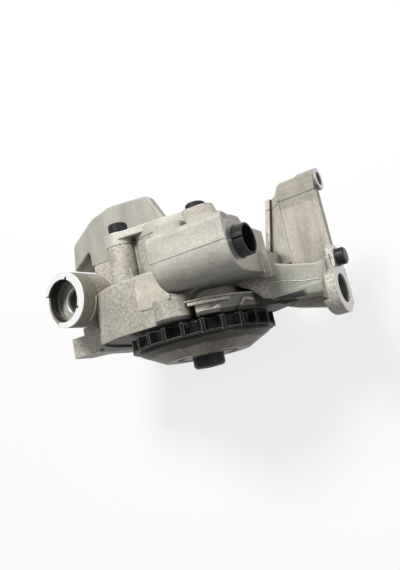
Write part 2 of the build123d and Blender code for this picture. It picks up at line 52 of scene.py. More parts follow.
def put(tree, kind, settings=None, inputs=None):
    node = tree.nodes.new(kind)
    for key, value in (settings or {}).items():
        setattr(node, key, value)
    connect(tree, node, inputs or {})
    return node


# links the values that are sockets, and writes the others into the node
def connect(tree, node, values):
    for key, value in values.items():
        if isinstance(value, bpy.types.NodeSocket):
            tree.links.new(value, node.inputs[key])
        else:
            node.inputs[key].default_value = value


def calc(tree, operation, first, second=0.0):
    return put(tree, "ShaderNodeMath", {"operation": operation}, {0: first, 1: second}).outputs[0]


def plus(tree, first, second):
    return calc(tree, "ADD", first, second)


def minus(tree, first, second):
    return calc(tree, "SUBTRACT", first, second)


def times(tree, first, second):
    return calc(tree, "MULTIPLY", first, second)


def vectorCalc(tree, operation, first, second=(0, 0, 0)):
    node = put(tree, "ShaderNodeVectorMath", {"operation": operation}, {0: first, 1: second})
    return node.outputs["Value" if operation in ("DOT_PRODUCT", "LENGTH") else "Vector"]


# 0 at low and 1 at high, with a soft start and end
def spread(tree, value, low, high):
    node = put(tree, "ShaderNodeMapRange", {"interpolation_type": "SMOOTHSTEP"},
               {"Value": value, "From Min": low, "From Max": high})
    return node.outputs[0]


def mixColor(tree, factor, first, second):
    node = put(tree, "ShaderNodeMix", {"data_type": "RGBA"})
    connect(tree, node, {0: factor, 6: first, 7: second})
    return node.outputs[2]


# lays a colour over another where the mask is, as strongly as the amount says
def layOver(tree, color, mask, amount, over):
    return mixColor(tree, times(tree, mask, amount), color, over)


def mixValue(tree, factor, first, second):
    return put(tree, "ShaderNodeMix", {"data_type": "FLOAT"}, {0: factor, 2: first, 3: second}).outputs[0]


def noise(tree, vector, scale, detail=3.0, roughness=0.5, stretch=None):
    if stretch:
        vector = vectorCalc(tree, "MULTIPLY", vector, stretch)
    node = put(tree, "ShaderNodeTexNoise", None,
               {"Vector": vector, "Scale": scale, "Detail": detail, "Roughness": roughness})
    return node.outputs["Fac"]


def newGroup(name, inputs, outputs):
    group = bpy.data.node_groups.new(name, "ShaderNodeTree")
    for label, kind, value in inputs:
        socket = group.interface.new_socket(label, in_out="INPUT", socket_type=kind)
        if value is not None:
            socket.default_value = value
    for label, kind in outputs:
        group.interface.new_socket(label, in_out="OUTPUT", socket_type=kind)
    return group, group.nodes.new("NodeGroupInput").outputs, group.nodes.new("NodeGroupOutput").inputs


# granular skin of a pressure casting: fine sand, bright specks, pits and soft blotches
def makeCastGroup():
    tree, given, made = newGroup(
        "castSkin",
        [("Vector", "NodeSocketVector", None), ("Grain", "NodeSocketFloat", 1.0)],
        [("Tone", "NodeSocketFloat"), ("Speck", "NodeSocketFloat"), ("Blotch", "NodeSocketFloat"),
         ("Height", "NodeSocketFloat")])
    where = given["Vector"]
    fine = noise(tree, where, 1500, 3, 0.65)
    coarse = noise(tree, where, 620, 3, 0.55)
    soft = noise(tree, where, 38, 4, 0.55)
    wide = noise(tree, where, 14, 2, 0.5)
    cells = put(tree, "ShaderNodeTexVoronoi", {"feature": "F1"}, {"Vector": where, "Scale": 1150})
    speck = spread(tree, fine, 0.6, 0.74)
    pit = spread(tree, coarse, 0.36, 0.24)
    grains = plus(tree, times(tree, fine, 0.62), times(tree, coarse, 0.38))
    tone = minus(tree, spread(tree, grains, 0.36, 0.64), 0.5)
    blotch = plus(tree, times(tree, soft, 0.6), times(tree, wide, 0.4))
    rise = plus(tree, grains, times(tree, cells.outputs["Distance"], 0.25))
    height = minus(tree, rise, times(tree, pit, 0.3))
    tree.links.new(times(tree, tone, given["Grain"]), made["Tone"])
    tree.links.new(times(tree, speck, given["Grain"]), made["Speck"])
    tree.links.new(blotch, made["Blotch"])
    tree.links.new(times(tree, height, given["Grain"]), made["Height"])
    return tree


# how sharply the surface turns nearby, and the normal with its edges softened
def makeEdgeGroup():
    tree, given, made = newGroup(
        "edgeMask", [("Radius", "NodeSocketFloat", 0.0004), ("Vector", "NodeSocketVector", None)],
        [("Edge", "NodeSocketFloat"), ("Rounded", "NodeSocketVector")])
    rounded = put(tree, "ShaderNodeBevel", {"samples": 6}, {"Radius": given["Radius"]}).outputs[0]
    real = put(tree, "ShaderNodeNewGeometry").outputs["Normal"]
    turn = minus(tree, 1.0, vectorCalc(tree, "DOT_PRODUCT", rounded, real))
    broken = noise(tree, given["Vector"], 420, 3, 0.6)
    edge = spread(tree, times(tree, turn, plus(tree, broken, 0.45)), 0.015, 0.09)
    tree.links.new(edge, made["Edge"])
    tree.links.new(rounded, made["Rounded"])
    return tree


# painted shade in inner corners, from ambient occlusion: 1 deep in a corner, 0 in the open
def makePaintedCornerShadeGroup():
    tree, given, made = newGroup(
        "paintedCornerShade", [("Reach", "NodeSocketFloat", 0.004), ("Vector", "NodeSocketVector", None)],
        [("PaintedCornerShade", "NodeSocketFloat")])
    shade = put(tree, "ShaderNodeAmbientOcclusion", {"samples": 6}, {"Distance": given["Reach"]})
    broken = noise(tree, given["Vector"], 260, 4, 0.6)
    level = plus(tree, shade.outputs["AO"], times(tree, minus(tree, broken, 0.5), 0.35))
    tree.links.new(spread(tree, level, 0.72, 0.30), made["PaintedCornerShade"])
    return tree


# handling marks: thin random scratches and soft smears
def makeWearGroup():
    tree, given, made = newGroup("wearMarks", [("Vector", "NodeSocketVector", None)],
                                 [("Scratch", "NodeSocketFloat"), ("Smear", "NodeSocketFloat")])
    where = given["Vector"]
    first = noise(tree, where, 90, 2, 0.5, (18, 1, 1.4))
    second = noise(tree, where, 70, 2, 0.5, (1, 1.3, 20))
    lines = calc(tree, "MAXIMUM", spread(tree, first, 0.665, 0.7), spread(tree, second, 0.67, 0.705))
    breakUp = spread(tree, noise(tree, where, 60, 2), 0.48, 0.62)
    tree.links.new(times(tree, lines, breakUp), made["Scratch"])
    tree.links.new(spread(tree, noise(tree, where, 26, 5, 0.6), 0.4, 0.7), made["Smear"])
    return tree


castGroup = makeCastGroup()
edgeGroup = makeEdgeGroup()
paintedCornerShadeGroup = makePaintedCornerShadeGroup()
wearGroup = makeWearGroup()


def useGroup(tree, group, inputs):
    return put(tree, "ShaderNodeGroup", {"node_tree": group}, inputs).outputs


def newMaterial(name):
    material = bpy.data.materials.new(name)
    material.use_nodes = True
    tree = material.node_tree
    tree.nodes.clear()
    shader = put(tree, "ShaderNodeBsdfPrincipled")
    output = put(tree, "ShaderNodeOutputMaterial")
    tree.links.new(shader.outputs[0], output.inputs[0])
    place = put(tree, "ShaderNodeTexCoord")
    return material, tree, shader, place.outputs["Object"], place.outputs["Normal"]


def bump(tree, height, strength, distance, normal):
    return put(tree, "ShaderNodeBump", None,
               {"Height": height, "Strength": strength, "Distance": distance, "Normal": normal}).outputs[0]


# distance from an axis, and depth along it, of the point being shaded
def fromAxis(tree, where, centre, axis):
    local = vectorCalc(tree, "SUBTRACT", where, centre)
    radius = vectorCalc(tree, "LENGTH", vectorCalc(tree, "CROSS_PRODUCT", local, axis))
    return radius, vectorCalc(tree, "DOT_PRODUCT", local, axis)


# fine even lines over a distance, as a lathe or mill leaves them, from 0 to 1
def toolLines(tree, where, distance, spacing, waver):
    wobble = times(tree, noise(tree, where, 300, 2), spacing * waver)
    wave = calc(tree, "SINE", times(tree, plus(tree, distance, wobble), 2 * math.pi / spacing))
    return plus(tree, times(tree, wave, 0.5), 0.5)


def turnedLines(tree, where, centre, axis, spacing):
    radius, depth = fromAxis(tree, where, centre, axis)
    return toolLines(tree, where, radius, spacing, 0.8)


# 1 inside a box with soft sides, sizes in millimetres, None for a side without a limit
def boxMask(tree, where, low, high, soft):
    separate = put(tree, "ShaderNodeSeparateXYZ", None, {0: where}).outputs
    mask = 1.0
    for index in range(3):
        for limit, side in ((low[index], 1), (high[index], -1)):
            if limit is not None:
                part = spread(tree, separate[index], (limit - side * soft) * mm, (limit + side * soft) * mm)
                mask = times(tree, mask, part)
    return mask


# 1 inside a round hole or boss: radius and depths along its axis in millimetres
def roundMask(tree, where, look):
    radius, depth = fromAxis(tree, where, look["centre"], look["axis"])
    soft = look.get("softDepth", look["soft"])
    near, far = look["depths"]
    inside = spread(tree, radius, (look["radius"] + look["soft"]) * mm, (look["radius"] - look["soft"]) * mm)
    inside = times(tree, inside, spread(tree, depth, (near - soft) * mm, (near + soft) * mm))
    return times(tree, inside, spread(tree, depth, (far + soft) * mm, (far - soft) * mm))


shaftAxis = (0, 1, 0)
flangeAxis = (1, 0, 0)
valveTilt = math.radians(6)
valveAxis = (-math.sin(valveTilt), 0.0, math.cos(valveTilt))
valvePoint = (-60 * mm, 33.2 * mm, 30 * mm)
mouthPoint = (-61.6 * mm, 33.2 * mm, 30 * mm)
outletPoint = (75.6 * mm, 3 * mm, 1.2 * mm)
sleevePoint = (45.2 * mm, 30.5 * mm, 33 * mm)


# Cast aluminium, with smooth patches, painted shade in hollows and corners, and machined faces where its look
# says so

# the corner reach and amount set the painted shade in corners; dirt and painted shade share one colour
castWear = {"edgeRadius": 0.7 * mm, "edge": 0.45, "edgeColor": (0.82, 0.81, 0.77, 1),
            "paintedCornerShadeReach": 7 * mm, "paintedCornerShade": 0.7,
            "scratch": 0.16, "scratchColor": (0.80, 0.79, 0.76, 1),
            "smear": 0.14, "speckColor": (0.84, 0.83, 0.79, 1), "bumpDepth": 0.35 * mm}
machinedLook = {"lines": 0.6 * mm, "rough": 0.33, "metal": 0.85, "facing": (0.985, 0.998)}
jointLook = {"plane": 51.5 * mm, "line": (0.1 * mm, 0.22 * mm), "color": (0.05, 0.047, 0.042, 1),
             "seepReach": 1.1 * mm, "seep": 0.45}


def addSmoothPatches(tree, where, look, color):
    smooth = 0.0
    for patch in look["smooth"]:
        mask = boxMask(tree, where, patch["low"], patch["high"], patch["soft"])
        streak = noise(tree, where, patch["scale"], 5, 0.62, patch["stretch"])
        finish = mixColor(tree, spread(tree, streak, 0.34, 0.66), patch["dark"], patch["light"])
        color = mixColor(tree, mask, color, finish)
        smooth = calc(tree, "MAXIMUM", smooth, mask)
    return color, smooth


def addDraftLines(tree, where, look, color, height):
    for barrel in look["ringed"]:
        radius, depth = fromAxis(tree, where, barrel["centre"], barrel["axis"])
        wave = toolLines(tree, where, depth, barrel["spacing"], 0.9)
        mask = roundMask(tree, where, barrel)
        color = layOver(tree, color, mask, 0.75, mixColor(tree, wave, barrel["dark"], barrel["light"]))
        height = plus(tree, height, times(tree, times(tree, wave, mask), 0.5))
    return color, height


# painted shade: a dark colour laid into round hollows where shade falls
def addPaintedShadeHollows(tree, where, look, color, rough):
    for paintedShadeHollow in look["paintedShadeHollows"]:
        mask = times(tree, roundMask(tree, where, paintedShadeHollow), paintedShadeHollow["amount"])
        if "within" in paintedShadeHollow:
            mask = times(tree, mask, boxMask(tree, where, *paintedShadeHollow["within"]))
        color = mixColor(tree, mask, color, paintedShadeHollow["color"])
        rough = mixValue(tree, mask, rough, paintedShadeHollow["rough"])
    return color, rough


# faces cut true by a mill: flat on their plane within a rise in millimetres, bright and lined
def addMachined(tree, where, normal, look, color, rough):
    machined = 0.0
    for face in look["machined"]:
        level = vectorCalc(tree, "DOT_PRODUCT", where, face["axis"])
        plane = sum(a * b for a, b in zip(face["axis"], face["point"]))
        away = calc(tree, "ABSOLUTE", minus(tree, level, plane))
        turned = spread(tree, vectorCalc(tree, "DOT_PRODUCT", normal, face["axis"]), *machinedLook["facing"])
        mask = times(tree, turned, spread(tree, away, face["rise"] * mm, face["rise"] * mm * 0.6))
        lines = turnedLines(tree, where, face["centre"], face["axis"], machinedLook["lines"])
        bright = face["bright"]
        groove, ridge = (0.8 * bright, 0.8 * bright, 0.78 * bright, 1), (bright, bright, 0.98 * bright, 1)
        metal = mixColor(tree, lines, groove, ridge)
        color = mixColor(tree, mask, color, metal)
        rough = mixValue(tree, mask, rough, machinedLook["rough"])
        machined = calc(tree, "MAXIMUM", machined, mask)
    return color, rough, machined


# the joint between the two castings: a thin dark line with a little oil along it
def addJoint(tree, where, normal, look, color):
    level = put(tree, "ShaderNodeSeparateXYZ", None, {0: where}).outputs[1]
    gap = calc(tree, "ABSOLUTE", minus(tree, level, jointLook["plane"]))
    flat = calc(tree, "ABSOLUTE", vectorCalc(tree, "DOT_PRODUCT", normal, shaftAxis))
    upright = spread(tree, flat, 0.9, 0.6)
    oil = spread(tree, noise(tree, where, 240, 3), 0.45, 0.65)
    seep = times(tree, times(tree, spread(tree, gap, jointLook["seepReach"], 0.0), oil), upright)
    color = layOver(tree, color, seep, jointLook["seep"], look["dirtAndShade"])
    near, far = jointLook["line"]
    return layOver(tree, color, spread(tree, gap, far, near), upright, jointLook["color"])


def castMaterial(name, look):
    material, tree, shader, where, normal = newMaterial(name)
    skin = useGroup(tree, castGroup, {"Vector": where, "Grain": look["grain"]})
    wear = useGroup(tree, wearGroup, {"Vector": where})
    edges = useGroup(tree, edgeGroup, {"Vector": where, "Radius": castWear["edgeRadius"]})
    paintedCornerShade = useGroup(tree, paintedCornerShadeGroup, {"Vector": where, "Reach": castWear["paintedCornerShadeReach"]})["PaintedCornerShade"]
    color = mixColor(tree, spread(tree, skin["Blotch"], 0.38, 0.62), look["dark"], look["light"])
    color, smooth = addSmoothPatches(tree, where, look, color)

    # the grain shows less on the smooth patches
    tone = plus(tree, times(tree, skin["Tone"], look["contrast"]), 1.0)
    tone = mixValue(tree, times(tree, smooth, 0.62), tone, 1.0)
    color = put(tree, "ShaderNodeVectorMath", {"operation": "SCALE"}, {0: color, "Scale": tone}).outputs[0]
    speck = times(tree, times(tree, skin["Speck"], look["speck"]), minus(tree, 1.0, times(tree, smooth, 0.7)))
    color = mixColor(tree, speck, color, castWear["speckColor"])
    color = layOver(tree, color, wear["Smear"], castWear["smear"], look["dirtAndShade"])
    color = layOver(tree, color, wear["Scratch"], castWear["scratch"], castWear["scratchColor"])
    color = layOver(tree, color, edges["Edge"], castWear["edge"], castWear["edgeColor"])
    # painted shade in corners and under parts, from ambient occlusion, in the dirt-and-shade colour
    color = layOver(tree, color, paintedCornerShade, castWear["paintedCornerShade"], look["dirtAndShade"])

    rough = mixValue(tree, skin["Blotch"], look["rough"] - 0.06, look["rough"] + 0.08)
    color, height = addDraftLines(tree, where, look, color, skin["Height"])
    color, rough = addPaintedShadeHollows(tree, where, look, color, rough)
    color, rough, machined = addMachined(tree, where, normal, look, color, rough)
    color = addJoint(tree, where, normal, look, color)
    height = mixValue(tree, times(tree, smooth, 0.6), height, 0.5)
    height = mixValue(tree, machined, height, 0.5)
    metal = mixValue(tree, skin["Blotch"], look["metal"] - 0.06, look["metal"] + 0.06)
    metal = mixValue(tree, machined, metal, machinedLook["metal"])
    connect(tree, shader, {
        "Base Color": color, "Metallic": metal, "Roughness": rough, "Specular IOR Level": look["specular"],
        "Normal": bump(tree, height, look["bump"], castWear["bumpDepth"], edges["Rounded"])})
    return material


bodyLook = {
    "grain": 1.0, "contrast": 0.62, "bump": 0.8, "rough": 0.46, "speck": 0.5, "metal": 0.14, "specular": 0.14,
    "dark": (0.40, 0.375, 0.325, 1), "light": (0.52, 0.49, 0.43, 1), "dirtAndShade": (0.10, 0.09, 0.075, 1),
    "smooth": [
        # front of the bracket, and its top end above the bend painted darker as painted shade
        {"low": (54.4, 11.0, -0.8), "high": (75.2, 62.0, 2.4), "soft": 0.5, "scale": 62,
         "stretch": (1.5, 0.35, 1.0), "dark": (0.30, 0.278, 0.235, 1), "light": (0.47, 0.44, 0.375, 1)},
        {"low": (54.4, 47.0, -3.0), "high": (75.2, 62.0, 2.4), "soft": 1.0, "scale": 90,
         "stretch": (1, 1, 1), "dark": (0.27, 0.252, 0.212, 1), "light": (0.35, 0.328, 0.28, 1)},
        # wedge beside the bracket
        {"low": (44.0, 20.0, -14.0), "high": (54.2, 62.0, -0.6), "soft": 0.3, "scale": 90,
         "stretch": (1, 1, 1), "dark": (0.50, 0.475, 0.41, 1), "light": (0.64, 0.61, 0.53, 1)},
        # arm
        {"low": (43.0, -2.0, 3.0), "high": (73.0, 21.0, 9.0), "soft": 1.0, "scale": 90,
         "stretch": (1, 1, 1), "dark": (0.36, 0.36, 0.31, 1), "light": (0.44, 0.44, 0.385, 1)},
        # centre bolt tube
        {"low": (7.0, 15.0, 24.0), "high": (44.8, 46.0, 47.0), "soft": 1.5, "scale": 80,
         "stretch": (0.4, 1.3, 1.3), "dark": (0.45, 0.43, 0.375, 1), "light": (0.55, 0.53, 0.475, 1)},
        # raised pad on the block
        {"low": (-16.4, 14.6, 28.1), "high": (10.0, 38.0, 30.0), "soft": 0.3, "scale": 120,
         "stretch": (1, 1, 1), "dark": (0.52, 0.485, 0.41, 1), "light": (0.64, 0.60, 0.515, 1)},
    ],
    "ringed": [
        {"centre": valvePoint, "axis": valveAxis, "radius": 15.0, "soft": 0.3, "depths": (-10, -0.6),
         "spacing": 1.1 * mm, "dark": (0.18, 0.162, 0.13, 1), "light": (0.34, 0.31, 0.26, 1)},
    ],
    "paintedShadeHollows": [
        # port mouth: its wall painted near black as painted shade
        {"centre": mouthPoint, "axis": valveAxis, "radius": 11.9, "soft": 0.3, "depths": (-7.0, -0.4),
         "amount": 0.93, "color": (0.035, 0.034, 0.03, 1), "rough": 0.36},
        # painted shade on the drum behind the sprocket, and on the front of the block round it
        {"centre": (0, 0, 0), "axis": shaftAxis, "radius": 34.35, "soft": 0.2, "depths": (4.0, 13.4),
         "within": ((None, None, None), (None, None, 27.2), 0.8),
         "amount": 0.8, "color": (0.15, 0.146, 0.13, 1), "rough": 0.5},
        {"centre": (0, 0, 0), "axis": shaftAxis, "radius": 60.0, "soft": 1.5, "softDepth": 0.2,
         "depths": (4.0, 6.5), "amount": 0.88, "color": (0.035, 0.033, 0.029, 1), "rough": 0.5},
        # painted shade in the mouth of the outlet
        {"centre": outletPoint, "axis": flangeAxis, "radius": 6.85, "soft": 0.15, "depths": (-5.4, -1.0),
         "amount": 0.8, "color": (0.05, 0.048, 0.044, 1), "rough": 0.4},
    ],
    "machined": [
        {"axis": flangeAxis, "point": (75.4 * mm, 0, 0), "rise": 0.8, "centre": outletPoint, "bright": 0.62},
        {"axis": flangeAxis, "point": sleevePoint, "rise": 0.6, "centre": sleevePoint, "bright": 0.62},
        {"axis": valveAxis, "point": valvePoint, "rise": 0.6, "centre": valvePoint, "bright": 0.93},
    ],
}
coverLook = {
    "grain": 0.8, "contrast": 0.24, "bump": 0.5, "rough": 0.46, "speck": 0.3, "metal": 0.14, "specular": 0.14,
    "dark": (0.45, 0.435, 0.385, 1), "light": (0.57, 0.555, 0.495, 1), "dirtAndShade": (0.12, 0.11, 0.09, 1),
    "smooth": [
        # top of the suction chamber
        {"low": (-80.0, 51.5, 4.0), "high": (0.0, 90.0, 12.0), "soft": 0.8, "scale": 55,
         "stretch": (1.6, 0.3, 1.0), "dark": (0.33, 0.322, 0.285, 1), "light": (0.44, 0.43, 0.38, 1)},
    ],
    "ringed": [],
    "paintedShadeHollows": [],
    "machined": [
        {"axis": shaftAxis, "point": (0, 58.2 * mm, 0), "rise": 0.5,
         "centre": (-25 * mm, 58.2 * mm, 20.4 * mm), "bright": 0.62},
    ],
}
# flash along the parting lines, painted brighter than the skin round it as a painted highlight on the ridges
flashHighlightLook = dict(bodyLook, dark=(0.60, 0.585, 0.53, 1), light=(0.80, 0.785, 0.73, 1), contrast=0.3,
                 smooth=[], ringed=[], paintedShadeHollows=[], machined=[])


# Black oxide skin on steel, rubbed bright on its edges

def blackMaterial(name, look):
    material, tree, shader, where, normal = newMaterial(name)
    wear = useGroup(tree, wearGroup, {"Vector": where})
    edges = useGroup(tree, edgeGroup, {"Vector": where, "Radius": look["edgeRadius"]})
    mottle = noise(tree, where, 160, 5, 0.6)
    grain = noise(tree, where, 1800, 3, 0.6)
    color = mixColor(tree, spread(tree, mottle, 0.35, 0.65), look["dark"], look["light"])
    color = layOver(tree, color, wear["Smear"], 0.35, look["oil"])
    color = layOver(tree, color, wear["Scratch"], 0.4, look["bare"])
    color = layOver(tree, color, edges["Edge"], look["edgeWear"], look["bare"])
    rough = mixValue(tree, mottle, look["rough"] - 0.1, look["rough"] + 0.12)
    connect(tree, shader, {
        "Base Color": color, "Metallic": 0.0, "Roughness": rough, "Specular IOR Level": look["specular"],
        "Normal": bump(tree, grain, 0.25, 0.2 * mm, edges["Rounded"])})
    return material


boltLook = {"dark": (0.012, 0.012, 0.014, 1), "light": (0.028, 0.029, 0.033, 1),
            "oil": (0.02, 0.018, 0.016, 1), "bare": (0.16, 0.16, 0.165, 1),
            "edgeRadius": 0.4 * mm, "edgeWear": 0.25, "rough": 0.42, "specular": 0.15}
# sprocket tooth edges: rubbed bare, and painted bright as a painted highlight on the tip lands
sprocketLook = {"dark": (0.007, 0.007, 0.007, 1), "light": (0.020, 0.019, 0.018, 1),
                "oil": (0.016, 0.014, 0.012, 1), "bare": (0.42, 0.41, 0.38, 1),
                "edgeRadius": 0.25 * mm, "edgeWear": 1.0, "rough": 0.4, "specular": 0.05}
springLook = {"dark": (0.010, 0.010, 0.011, 1), "light": (0.022, 0.022, 0.024, 1),
              "oil": (0.016, 0.015, 0.014, 1), "bare": (0.20, 0.20, 0.20, 1),
              "edgeRadius": 0.3 * mm, "edgeWear": 0.3, "rough": 0.32, "specular": 0.2}


# Bare or phosphated steel with fine lines round its own axis

# streaks that run outwards from the hub, and a grimy rim
def addSpokes(tree, where, look, color):
    flat = vectorCalc(tree, "MULTIPLY", where, (1, 0, 1))
    spoke = vectorCalc(tree, "NORMALIZE", flat)
    radius, depth = fromAxis(tree, where, look["centre"], look["axis"])
    streak = spread(tree, noise(tree, spoke, 2.2, 5, 0.62), 0.40, 0.56)
    color = layOver(tree, color, streak, 0.85, look["streak"])
    grime = plus(tree, radius, times(tree, noise(tree, where, 190, 4), 4 * mm))
    grimy = spread(tree, grime, look["rim"] * mm, (look["rim"] + 1.6) * mm)
    return mixColor(tree, grimy, color, look["dirtAndShade"])


def steelMaterial(name, look):
    material, tree, shader, where, normal = newMaterial(name)
    wear = useGroup(tree, wearGroup, {"Vector": where})
    edges = useGroup(tree, edgeGroup, {"Vector": where, "Radius": 0.5 * mm})
    paintedCornerShade = useGroup(tree, paintedCornerShadeGroup, {"Vector": where, "Reach": 3 * mm})["PaintedCornerShade"]
    lines = turnedLines(tree, where, look["centre"], look["axis"], look["spacing"])
    mottle = noise(tree, where, look["mottle"], 5, 0.6)
    color = mixColor(tree, spread(tree, mottle, 0.36, 0.64), look["dark"], look["light"])
    if "rim" in look:
        color = addSpokes(tree, where, look, color)
    color = layOver(tree, color, lines, look["lines"], look["bare"])
    color = layOver(tree, color, wear["Scratch"], 0.35, look["bare"])
    color = layOver(tree, color, wear["Smear"], 0.25, look["dirtAndShade"])
    color = layOver(tree, color, edges["Edge"], 0.55, look["bare"])
    # painted shade in corners and under parts, from ambient occlusion, in the dirt-and-shade colour
    color = layOver(tree, color, paintedCornerShade, 0.5, look["dirtAndShade"])
    # painted shade in the bowl of the plug
    if "bowl" in look:
        color = mixColor(tree, roundMask(tree, where, look["bowl"]), color, look["bowl"]["color"])
    rough = mixValue(tree, mottle, look["rough"] - 0.07, look["rough"] + 0.1)
    grooves = plus(tree, times(tree, lines, 0.6), noise(tree, where, 1500, 2))
    connect(tree, shader, {
        "Base Color": color, "Metallic": look["metal"], "Roughness": rough,
        "Specular IOR Level": look["specular"],
        "Normal": bump(tree, grooves, 0.12, 0.12 * mm, edges["Rounded"])})
    return material


dishLook = {"centre": (0, 0, 0), "axis": shaftAxis, "spacing": 0.9 * mm, "mottle": 55, "lines": 0.16,
            "dark": (0.10, 0.088, 0.07, 1), "light": (0.22, 0.197, 0.158, 1), "bare": (0.34, 0.31, 0.26, 1),
            "streak": (0.32, 0.29, 0.235, 1), "rim": 30.0, "dirtAndShade": (0.022, 0.019, 0.015, 1),
            "rough": 0.4, "metal": 0.15, "specular": 0.12}
plugLook = {"centre": valvePoint, "axis": valveAxis, "spacing": 0.6 * mm, "mottle": 80, "lines": 0.2,
            "dark": (0.50, 0.49, 0.46, 1), "light": (0.74, 0.73, 0.70, 1), "bare": (0.86, 0.85, 0.82, 1),
            # the bowl of the plug is painted near black as painted shade
            "bowl": {"centre": mouthPoint, "axis": valveAxis, "radius": 6.4, "soft": 0.9,
                     "depths": (-40, -9.9), "color": (0.055, 0.053, 0.048, 1)},
            "dirtAndShade": (0.10, 0.095, 0.085, 1), "rough": 0.3, "metal": 0.3, "specular": 0.4}
groundLook = {"centre": (0, 0, 0), "axis": shaftAxis, "spacing": 0.5 * mm, "mottle": 120, "lines": 0.2,
              "dark": (0.42, 0.42, 0.42, 1), "light": (0.58, 0.58, 0.58, 1), "bare": (0.75, 0.75, 0.75, 1),
              "dirtAndShade": (0.2, 0.19, 0.17, 1), "rough": 0.24, "metal": 1.0, "specular": 0.4}
gearLook = dict(groundLook, dark=(0.30, 0.30, 0.30, 1), light=(0.44, 0.44, 0.43, 1), rough=0.3, mottle=90)
bronzeLook = dict(groundLook, dark=(0.33, 0.22, 0.09, 1), light=(0.50, 0.36, 0.17, 1),
                  bare=(0.66, 0.52, 0.28, 1), dirtAndShade=(0.14, 0.09, 0.04, 1))
wireLook = dict(groundLook, dark=(0.22, 0.22, 0.22, 1), light=(0.34, 0.34, 0.33, 1), mottle=200)

materials = {
    "cast_body": castMaterial("castBody", bodyLook),
    "cast_cover": castMaterial("castCover", coverLook),
    "black_bolt": blackMaterial("blackBolt", boltLook),
    "black_sprocket": blackMaterial("blackSprocket", sprocketLook),
    "black_spring_steel": blackMaterial("blackSpringSteel", springLook),
    "pressed_steel": steelMaterial("pressedSteel", dishLook),
    "plug_steel": steelMaterial("plugSteel", plugLook),
    "ground_steel": steelMaterial("groundSteel", groundLook),
    "gear_steel": steelMaterial("gearSteel", gearLook),
    "bush_bronze": steelMaterial("bushBronze", bronzeLook),
    "spring_steel": steelMaterial("springSteel", wireLook),
}
# cast material with the painted highlight, for the flash beads
castFlashHighlight = castMaterial("castFlashHighlight", flashHighlightLook)

slotOf = {row["node"]: row["material_slot"] for row in frame["record"]["subparts"]}
for name, node in frame["nodes"].items():
    node.data.materials.clear()
    node.data.materials.append(materials[slotOf[name]])
print("materials made")


# Small cast details

def finishPiece(name, mesh, material):
    shape = bmesh.new()
    shape.from_mesh(mesh)
    bmesh.ops.remove_doubles(shape, verts=shape.verts, dist=0.005 * mm)
    bmesh.ops.recalc_face_normals(shape, faces=shape.faces)
    for face in shape.faces:
        face.smooth = True
    for edge in shape.edges:
        edge.smooth = len(edge.link_faces) == 2 and edge.calc_face_angle() < 0.6
    shape.to_mesh(mesh)
    shape.free()
    mesh.materials.clear()
    mesh.materials.append(material)
    piece = bpy.data.objects.new(name, mesh)
    scene.collection.objects.link(piece)
    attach(piece, "housing")


# a thin raised line on the casting, sunk a little into it, thicker and thinner as it swells
def makeBead(look):
    line = bpy.data.curves.new(look["name"], "CURVE")
    line.dimensions = "3D"
    line.bevel_depth = look["radius"] * mm
    line.bevel_resolution = 3
    line.resolution_u = 6
    line.use_fill_caps = True
    spline = line.splines.new("NURBS")
    spline.points.add(len(look["points"]) - 1)
    swell = look.get("swell", [1])
    for index, (x, y, z) in enumerate(look["points"]):
        spline.points[index].co = (x * mm, y * mm, z * mm, 1)
        spline.points[index].radius = swell[index % len(swell)]
    spline.order_u = 3
    spline.use_endpoint_u = True
    holder = bpy.data.objects.new(look["name"], line)
    scene.collection.objects.link(holder)
    bpy.context.view_layer.update()
    shaped = holder.evaluated_get(bpy.context.evaluated_depsgraph_get())
    mesh = bpy.data.meshes.new_from_object(shaped)
    bpy.data.objects.remove(holder)
    finishPiece(look["name"], mesh, materials["cast_body"] if look.get("plain") else castFlashHighlight)


armPartingLine = {
    "name": "armPartingLine", "radius": 0.38, "swell": [1.2, 0.5, 1.0, 0.4, 1.3, 0.7, 0.45],
    "points": [(44.0, 14.0, 6.5), (46.0, 13.8, 6.5), (47.5, 13.6, 6.5), (49.0, 13.3, 6.5), (50.3, 13.1, 6.5),
               (52.0, 12.5, 6.5), (54.0, 12.1, 6.5), (55.6, 11.7, 6.5), (57.2, 11.1, 6.5), (59.0, 10.6, 6.5),
               (60.4, 10.2, 6.5), (62.2, 10.1, 6.5), (63.6, 10.0, 6.5), (65.2, 9.7, 6.5), (67.2, 9.4, 6.5)]}
tubeFlash = {
    "name": "tubeFlash", "radius": 0.42, "swell": [0.3, 1.1, 0.6, 1.3, 0.5, 1.0, 0.4],
    "points": [(12.6, 31.2, 45.66), (14.0, 31.6, 45.64), (15.4, 31.5, 45.64), (17.0, 31.9, 45.62),
               (18.4, 31.7, 45.64), (20.0, 31.4, 45.66), (21.8, 31.8, 45.62), (23.2, 32.3, 45.58),
               (25.0, 32.6, 45.52), (26.6, 32.9, 45.48), (28.4, 32.6, 45.52), (30.0, 32.2, 45.58),
               (31.6, 31.5, 45.64)]}
bracketRim = {
    "name": "bracketRim", "radius": 0.7, "plain": True, "swell": [1.0, 0.85, 1.05, 0.75, 0.95, 0.7],
    "points": [(55.0, 53.0, 0.1), (54.7, 46.0, 0.1), (54.5, 38.0, 0.1), (54.5, 30.0, 0.1), (54.8, 24.0, 0.1),
               (55.2, 19.4, 0.1)]}
padPartingLine = {
    "name": "padPartingLine", "radius": 0.24,
    "points": [(-17.0, 37.8, 28.1), (-16.4, 33.5, 28.1), (-15.4, 26.6, 28.2), (-14.7, 20.0, 28.2),
               (-14.4, 15.6, 28.2), (-12.5, 15.2, 28.2), (-8.0, 15.1, 28.2)]}
for look in (armPartingLine, tubeFlash, bracketRim, padPartingLine):
    makeBead(look)


